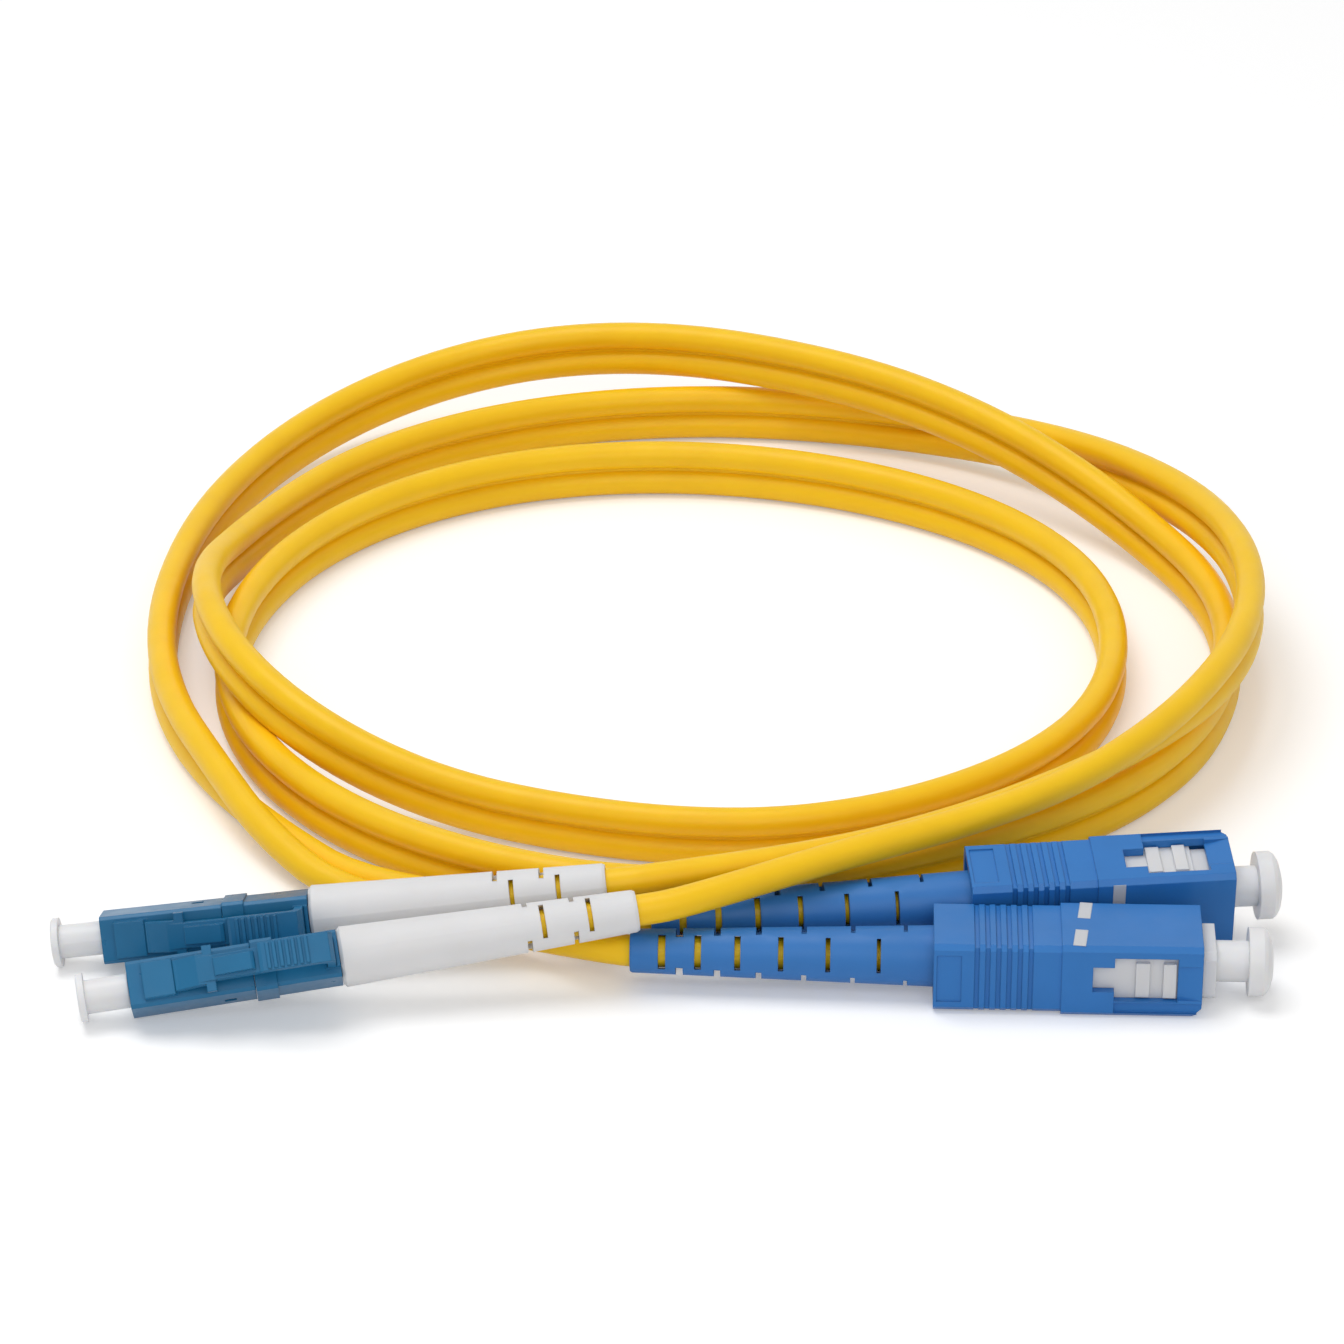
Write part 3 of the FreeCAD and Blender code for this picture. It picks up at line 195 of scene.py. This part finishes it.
# One strand: a smooth spline from inside the LC plug round the coil to inside the SC plug
def strand(label, side, lc_name, sc_name, lc_start, sc_start):
    lc_place = lc_places[lc_name]
    sc_place = sc_places[sc_name]
    spots = [behind(lc_place, lc_start), behind(lc_place, lc_tail), behind(lc_place, lc_tail + 4.0)]
    spots += [strand_spot(turn_at, side) for turn_at in coil_turns]
    spots += [behind(sc_place, sc_tail + 1.5), behind(sc_place, sc_tail - 2.0)]
    spots.append(behind(sc_place, sc_start))
    data = bpy.data.curves.new(label, "CURVE")
    data.dimensions = "3D"
    spline = data.splines.new("NURBS")
    spline.points.add(len(spots) - 1)
    for point, spot in zip(spline.points, spots):
        point.co = (*(spot * MM), 1)
    spline.order_u = 3
    spline.use_endpoint_u = True
    spline.resolution_u = 6
    spline.use_smooth = True
    made = bpy.data.objects.new(label, data)
    bpy.context.scene.collection.objects.link(made)
    return made


def line_points(curve):
    bpy.context.view_layer.update()
    mesh = bpy.data.meshes.new_from_object(curve)
    points = [v.co.copy() for v in mesh.vertices]
    bpy.data.meshes.remove(mesh)
    return points


def thicken(curve, diameter, segments):
    curve.data.bevel_depth = diameter / 2 * MM
    curve.data.bevel_resolution = segments
    curve.data.use_fill_caps = True


strands = {
    "strand_1": strand("strand_1_cord", -1, "lc_1", "sc_1", lc_jacket_start, sc_jacket_start),
    "strand_2": strand("strand_2_cord", 1, "lc_2", "sc_2", lc_jacket_start, sc_jacket_start),
}
cores = {
    "strand_1": strand("strand_1_core", -1, "lc_1", "sc_1", lc_core_start, sc_core_start),
    "strand_2": strand("strand_2_core", 1, "lc_2", "sc_2", lc_core_start, sc_core_start),
}
lines = {name: line_points(curve) for name, curve in strands.items()}
for curve in strands.values():
    thicken(curve, strand_diameter, 6)
for curve in cores.values():
    thicken(curve, fibre_diameter, 3)


# Web that joins the jackets where the strands run as a pair: a thin strip along both splines
web_height = 1.0
web_edge = 1.28
web_widest = strand_pitch + 0.35
look_back = 40
look_ahead = 80


def web_mesh(label, one, other):
    made = bmesh.new()
    rings = []
    near = 0
    for i in range(1, len(one) - 1):
        ahead = range(max(near - look_back, 0), min(near + look_ahead, len(other)))
        near = min(ahead, key=lambda k: (other[k] - one[i]).length)
        gap = other[near] - one[i]
        if gap.length > web_widest * MM:
            rings.append(None)
            continue
        along = (one[i + 1] - one[i - 1]).normalized()
        across = (gap - along * gap.dot(along)).normalized()
        up = along.cross(across)
        middle = one[i] + across * (gap.length / 2)
        wide = across * (gap.length / 2 - web_edge * MM)
        high = up * (web_height / 2 * MM)
        corners = (middle - wide - high, middle + wide - high, middle + wide + high, middle - wide + high)
        rings.append([made.verts.new(c) for c in corners])
    for a, b in zip(rings, rings[1:]):
        if a and b:
            for k in range(4):
                made.faces.new((a[k], a[(k + 1) % 4], b[(k + 1) % 4], b[k]))
    for before, ring, after in zip([None] + rings, rings, rings[1:] + [None]):
        if ring and not before and after:
            made.faces.new(ring[::-1])
        if ring and not after and before:
            made.faces.new(ring)
    loose = [v for v in made.verts if not v.link_faces]
    bmesh.ops.delete(made, geom=loose, context="VERTS")
    bmesh.ops.recalc_face_normals(made, faces=made.faces)
    mesh = bpy.data.meshes.new(label)
    made.to_mesh(mesh)
    made.free()
    for polygon in mesh.polygons:
        polygon.use_smooth = False
    piece = bpy.data.objects.new(label, mesh)
    bpy.context.scene.collection.objects.link(piece)
    return piece


web = web_mesh("cord_web", lines["strand_1"], lines["strand_2"])


# Materials: moulded plastics with a fine mould texture, worn a little at their edges
class Recipe:
    def __init__(self, label):
        self.material = bpy.data.materials.new(label)
        self.material.use_nodes = True
        self.tree = self.material.node_tree
        self.shader = self.tree.nodes["Principled BSDF"]
        self.place = self.tree.nodes.new("ShaderNodeTexCoord")

    def add(self, kind, **values):
        node = self.tree.nodes.new(kind)
        for name, value in values.items():
            node.inputs[name.replace("_", " ")].default_value = value
        return node

    def link(self, a, b):
        self.tree.links.new(a, b)

    def noise(self, scale, detail, rough=0.5):
        node = self.add("ShaderNodeTexNoise", Scale=scale, Detail=detail, Roughness=rough)
        self.link(self.place.outputs["Object"], node.inputs["Vector"])
        return node

    def ramp(self, source, low, high, at=(0.3, 0.7)):
        node = self.add("ShaderNodeValToRGB")
        node.color_ramp.elements[0].position = at[0]
        node.color_ramp.elements[1].position = at[1]
        node.color_ramp.elements[0].color = (*low, 1)
        node.color_ramp.elements[1].color = (*high, 1)
        self.link(source, node.inputs["Fac"])
        return node

    def bump(self, source, strength, distance, edge=0.0):
        node = self.add("ShaderNodeBump", Strength=strength, Distance=distance)
        self.link(source, node.inputs["Height"])
        if edge:
            bevel = self.add("ShaderNodeBevel", Radius=edge)
            self.link(bevel.outputs["Normal"], node.inputs["Normal"])
        self.link(node.outputs["Normal"], self.shader.inputs["Normal"])


def shade(colour, factor):
    return tuple(min(c * factor, 1.0) for c in colour)


# One moulded plastic: colour drifts a few percent, gloss varies in soft patches
def moulded(label, colour, rough, drift=0.05, grain=0.00002, edge=0.0001, soft=0.0, spread=0.06):
    recipe = Recipe(label)
    patches = recipe.noise(180, 3)
    tint = recipe.ramp(patches.outputs["Fac"], shade(colour, 1 - drift), shade(colour, 1 + drift))
    recipe.link(tint.outputs["Color"], recipe.shader.inputs["Base Color"])
    gloss = recipe.noise(420, 4, 0.6)
    low = (rough - spread,) * 3
    high = (rough + spread,) * 3
    worn = recipe.ramp(gloss.outputs["Fac"], low, high)
    recipe.link(worn.outputs["Color"], recipe.shader.inputs["Roughness"])
    fine = recipe.noise(6500, 2)
    recipe.bump(fine.outputs["Fac"], 0.25, grain, edge)
    recipe.shader.inputs["Specular IOR Level"].default_value = 0.3
    if soft:
        recipe.shader.inputs["Subsurface Weight"].default_value = soft
        recipe.shader.inputs["Subsurface Scale"].default_value = 0.0012
        recipe.shader.inputs["Subsurface Radius"].default_value = (1.0, 0.8, 0.6)
    return recipe.material


# Turned or drawn metal: its gloss varies with a fine grain
def metal(label, colour, rough):
    recipe = Recipe(label)
    recipe.shader.inputs["Metallic"].default_value = 1.0
    patches = recipe.noise(900, 4)
    tint = recipe.ramp(patches.outputs["Fac"], shade(colour, 0.9), shade(colour, 1.08))
    recipe.link(tint.outputs["Color"], recipe.shader.inputs["Base Color"])
    fine = recipe.noise(4000, 3)
    worn = recipe.ramp(fine.outputs["Fac"], (rough - 0.08,) * 3, (rough + 0.1,) * 3)
    recipe.link(worn.outputs["Color"], recipe.shader.inputs["Roughness"])
    recipe.bump(fine.outputs["Fac"], 0.3, 0.00002)
    return recipe.material


# Yarn: dull, with an uneven tint of its threads
def yarn(label, colour):
    recipe = Recipe(label)
    threads = recipe.noise(5000, 5, 0.7)
    tint = recipe.ramp(threads.outputs["Fac"], shade(colour, 0.75), shade(colour, 1.15))
    recipe.link(tint.outputs["Color"], recipe.shader.inputs["Base Color"])
    recipe.shader.inputs["Roughness"].default_value = 0.8
    recipe.bump(threads.outputs["Fac"], 0.8, 0.0001)
    return recipe.material


materials = {
    "jacket_yellow": moulded("jacket_yellow", (0.98, 0.585, 0.006), 0.42, 0.03, 0.00003, 0.0, 0.3),
    "fibre_buffer": moulded("fibre_buffer", (0.86, 0.8, 0.6), 0.45),
    "lc_teal": moulded("lc_teal", (0.011, 0.145, 0.305), 0.33, 0.05, 0.00002, 0.00015),
    "lc_boot_white": moulded("lc_boot_white", (0.76, 0.755, 0.76), 0.5, 0.02, 0.00002, 0.0001, 0.2),
    "sc_blue": moulded("sc_blue", (0.026, 0.178, 0.51), 0.34, 0.04, 0.00002, 0.00015),
    "sc_boot_blue": moulded("sc_boot_blue", (0.032, 0.175, 0.49), 0.44, 0.04),
    "frame_white": moulded("frame_white", (0.7, 0.7, 0.71), 0.4, 0.02, 0.00002, 0.0001, 0.25),
    "cap_white": moulded("cap_white", (0.79, 0.79, 0.8), 0.35, 0.02, 0.00002, 0.0001, 0.4),
    "zirconia": moulded("zirconia", (0.9, 0.89, 0.87), 0.12, 0.01, 0.000005, 0.00003, 0.1, 0.02),
    "flange_metal": metal("flange_metal", (0.6, 0.6, 0.6), 0.35),
    "spring_steel": metal("spring_steel", (0.55, 0.55, 0.56), 0.3),
    "crimp_body_metal": metal("crimp_body_metal", (0.62, 0.62, 0.6), 0.3),
    "crimp_ring_metal": metal("crimp_ring_metal", (0.75, 0.72, 0.6), 0.3),
    "aramid_yarn": yarn("aramid_yarn", (0.85, 0.72, 0.25)),
}

slot_of = {part["node"]: part["material_slot"] for part in frame["record"]["subparts"]}
for name, node in frame["nodes"].items():
    node.data.materials.clear()
    node.data.materials.append(materials[slot_of[name]])


# Each spring is drawn by a copy of its mesh, carried on the cord's body in place of the hidden CAD spring
def squeezing_spring(name):
    node = frame["nodes"][name + "_spring"]
    piece = bpy.data.objects.new(name + "_live_spring", node.data.copy())
    bpy.context.scene.collection.objects.link(piece)
    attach(piece, "cord")
    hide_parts(name + "_spring")
    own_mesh(piece)


for name, place in [*lc_places.items(), *sc_places.items()]:
    squeezing_spring(name)


# Jackets, fibres and web on the cord's body, in place of the CAD's tubes
def dress(piece, slot_name):
    piece.data.materials.append(materials[slot_name])
    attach(piece, "cord")


dress(web, "jacket_yellow")
for name, carried in (("strand_1", [web]), ("strand_2", [])):
    dress(strands[name], "jacket_yellow")
    dress(cores[name], "fibre_buffer")
    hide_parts(name + "_jacket")
    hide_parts(name + "_fibre")


# A thin plate with soft corners, laid on a face of a plug
def plate(label, place, spot, size, slot_name, body):
    mesh_data = bpy.data.meshes.new(label)
    made = bmesh.new()
    bmesh.ops.create_cube(made, size=1.0)
    bmesh.ops.scale(made, vec=Vector(size), verts=made.verts)
    bmesh.ops.bevel(made, geom=list(made.edges), offset=min(size) * 0.25, segments=2, affect="EDGES")
    made.transform(place @ Matrix.Translation(spot))
    bmesh.ops.scale(made, vec=Vector((MM, MM, MM)), verts=made.verts)
    made.to_mesh(mesh_data)
    made.free()
    piece = bpy.data.objects.new(label, mesh_data)
    bpy.context.scene.collection.objects.link(piece)
    piece.data.materials.append(materials[slot_name])
    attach(piece, body)
    return piece


# Two pale marks across the marked face of each SC grip, 13.9 mm from its rear end
grip_length = 25.0
mark_from_rear = 13.9
mark_apart = 5.2
mark_height = 3.69
mark_size = (1.2, 3.0, 0.06)
for name, slant in (("sc_1", 0), ("sc_2", -6)):
    middle = shifted(sc_places[name], grip_forward[name] - grip_length + mark_from_rear)
    slanted = middle @ Matrix.Rotation(math.radians(slant), 4, "Z")
    for number, side in (("1", 1), ("2", -1)):
        spot = (0, side * mark_apart / 2, mark_height)
        plate(name + "_mark_" + number, slanted, spot, mark_size, "frame_white", name + "_sleeve")


# Stage: a plain pale floor with the object's shadow, two large soft lamps and a low pale surround
floor_half = 3.0
floor_drop = 0.05
floor_level = 0.88
floor_glow = 0.24
surround_level = 0.42
lamp_width = 0.5


# One strength for the light that falls on the object, another for what is seen directly or mirrored
def seen_directly(tree, otherwise, seen):
    ray = tree.nodes.new("ShaderNodeLightPath")
    total = ray.outputs["Is Camera Ray"]
    for kind in ("Is Glossy Ray", "Is Transmission Ray"):
        either = tree.nodes.new("ShaderNodeMath")
        either.operation = "MAXIMUM"
        tree.links.new(total, either.inputs[0])
        tree.links.new(ray.outputs[kind], either.inputs[1])
        total = either.outputs["Value"]
    level = tree.nodes.new("ShaderNodeMapRange")
    level.inputs["To Min"].default_value = otherwise
    level.inputs["To Max"].default_value = seen
    tree.links.new(total, level.inputs["Value"])
    return level.outputs["Result"]


floor_mesh = bpy.data.meshes.new("floor")
floor_corners = [(x * floor_half, y * floor_half, 0) for x, y in ((-1, -1), (1, -1), (1, 1), (-1, 1))]
floor_mesh.from_pydata(floor_corners, [], [(0, 1, 2, 3)])
floor = bpy.data.objects.new("floor", floor_mesh)
floor.location.z = -floor_drop * MM
bpy.context.scene.collection.objects.link(floor)
floor_look = bpy.data.materials.new("floor_white")
floor_look.use_nodes = True
floor_tree = floor_look.node_tree
floor_shader = floor_tree.nodes["Principled BSDF"]
floor_shader.inputs["Base Color"].default_value = (floor_level, floor_level, floor_level, 1)
floor_shader.inputs["Roughness"].default_value = 0.9
floor_shader.inputs["Emission Color"].default_value = (1, 1, 1, 1)
floor_tree.links.new(seen_directly(floor_tree, 0.0, floor_glow), floor_shader.inputs["Emission Strength"])
floor_mesh.materials.append(floor_look)

world = bpy.data.worlds.new("studio")
bpy.context.scene.world = world
world.use_nodes = True
sky = world.node_tree
background = sky.nodes["Background"]
background.inputs["Color"].default_value = (1, 1, 1, 1)
sky.links.new(seen_directly(sky, surround_level, 1.0), background.inputs["Strength"])


def softbox(label, spot, aim, width, power):
    data = bpy.data.lights.new(label, "AREA")
    data.shape = "SQUARE"
    data.size = width
    data.energy = power
    made = bpy.data.objects.new(label, data)
    made.location = spot
    made.rotation_euler = (Vector(aim) - Vector(spot)).to_track_quat("-Z", "Y").to_euler()
    bpy.context.scene.collection.objects.link(made)


softbox("key_light", (-0.2, 0.1, 0.75), (0, 0.05, 0), lamp_width, 2.9)
softbox("front_light", (0.05, -0.6, 0.45), (0, 0, 0), lamp_width, 1.3)

bpy.context.scene.view_settings.view_transform = "Standard"
